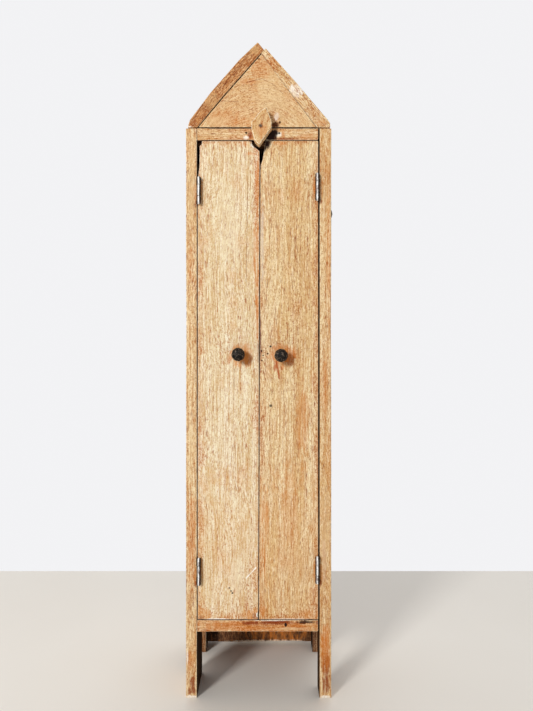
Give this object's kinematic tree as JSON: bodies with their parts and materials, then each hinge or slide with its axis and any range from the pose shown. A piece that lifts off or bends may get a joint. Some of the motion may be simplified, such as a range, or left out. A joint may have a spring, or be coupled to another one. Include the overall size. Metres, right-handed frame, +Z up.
{
  "type": "miniature wardrobe",
  "caption": "Tall narrow miniature wardrobe of old light planks: steep pointed roof, full-height doors on butt hinges, iron knobs, a wooden turn button and feet cut from the side boards.",
  "frame": {"origin": "on the ground, under the centre of the bounding box", "axes": "+Z up, doors face -Y, +X to the right when looking at the doors"},
  "size_m": [0.1419, 0.118, 0.634],
  "materials": {
    "frame_wood": "worn waxed light wood with brown streaks and rubbed edges",
    "door_wood": "worn pale honey wood with fine vertical grain and brown pores",
    "gable_wood": "worn light wood, grain running across",
    "roof_wood": "worn wood, a little darker along the sloping boards",
    "back_wood": "rough dark brown unwaxed wood",
    "inner_wood": "dull brown unwaxed wood",
    "rusty_steel": "old steel with brown rust and bright rubbed spots",
    "black_iron": "hammered black iron with a soft sheen",
    "dark_nail": "dull dark nail head"
  },
  "bodies": {
    "carcass": {"left_side_board": "frame_wood", "right_side_board": "frame_wood", "top_rail": "frame_wood", "bottom_rail": "frame_wood", "front_gable_board": "gable_wood", "left_roof_board": "roof_wood", "right_roof_board": "roof_wood", "back_panel": "back_wood", "back_gable_board": "back_wood", "floor_board": "inner_wood", "ceiling_board": "inner_wood", "hat_shelf": "inner_wood", "hanging_rail": "inner_wood", "left_rail_socket": "inner_wood", "right_rail_socket": "inner_wood", "side_tack": "black_iron", "turn_button_nail": "dark_nail", "rail_nail_left": "dark_nail", "rail_nail_right": "dark_nail", "back_nail_left_low": "dark_nail", "back_nail_left_middle": "dark_nail", "back_nail_left_high": "dark_nail", "back_nail_right_low": "dark_nail", "back_nail_right_middle": "dark_nail", "back_nail_right_high": "dark_nail", "left_top_hinge_frame_leaf": "rusty_steel", "left_top_hinge_pin": "rusty_steel", "left_top_hinge_frame_screw_upper": "rusty_steel", "left_top_hinge_frame_screw_lower": "rusty_steel", "left_bottom_hinge_frame_leaf": "rusty_steel", "left_bottom_hinge_pin": "rusty_steel", "left_bottom_hinge_frame_screw_upper": "rusty_steel", "left_bottom_hinge_frame_screw_lower": "rusty_steel", "right_top_hinge_frame_leaf": "rusty_steel", "right_top_hinge_pin": "rusty_steel", "right_top_hinge_frame_screw_upper": "rusty_steel", "right_top_hinge_frame_screw_lower": "rusty_steel", "right_bottom_hinge_frame_leaf": "rusty_steel", "right_bottom_hinge_pin": "rusty_steel", "right_bottom_hinge_frame_screw_upper": "rusty_steel", "right_bottom_hinge_frame_screw_lower": "rusty_steel"},
    "left_door": {"left_door": "door_wood", "left_knob": "black_iron", "left_knob_screw": "black_iron", "left_top_hinge_door_leaf": "rusty_steel", "left_top_hinge_door_screw_upper": "rusty_steel", "left_top_hinge_door_screw_lower": "rusty_steel", "left_bottom_hinge_door_leaf": "rusty_steel", "left_bottom_hinge_door_screw_upper": "rusty_steel", "left_bottom_hinge_door_screw_lower": "rusty_steel"},
    "right_door": {"right_door": "door_wood", "right_knob": "black_iron", "right_knob_screw": "black_iron", "right_top_hinge_door_leaf": "rusty_steel", "right_top_hinge_door_screw_upper": "rusty_steel", "right_top_hinge_door_screw_lower": "rusty_steel", "right_bottom_hinge_door_leaf": "rusty_steel", "right_bottom_hinge_door_screw_upper": "rusty_steel", "right_bottom_hinge_door_screw_lower": "rusty_steel"},
    "turn_button": {"turn_button": "frame_wood"}
  },
  "joints": [
    {"name": "left_door_hinge", "type": "hinge", "parent": "carcass", "child": "left_door", "pos_m": [-0.0575, -0.0483, 0.3], "axis": [0, 0, -1], "range_deg": [0, 180]},
    {"name": "right_door_hinge", "type": "hinge", "parent": "carcass", "child": "right_door", "pos_m": [0.0565, -0.0483, 0.3], "axis": [0, 0, 1], "range_deg": [0, 180]},
    {"name": "turn_button_pivot", "type": "hinge", "parent": "carcass", "child": "turn_button", "pos_m": [0.0019, -0.0508, 0.5492], "axis": [0, -1, 0], "continuous": true}
  ]
}
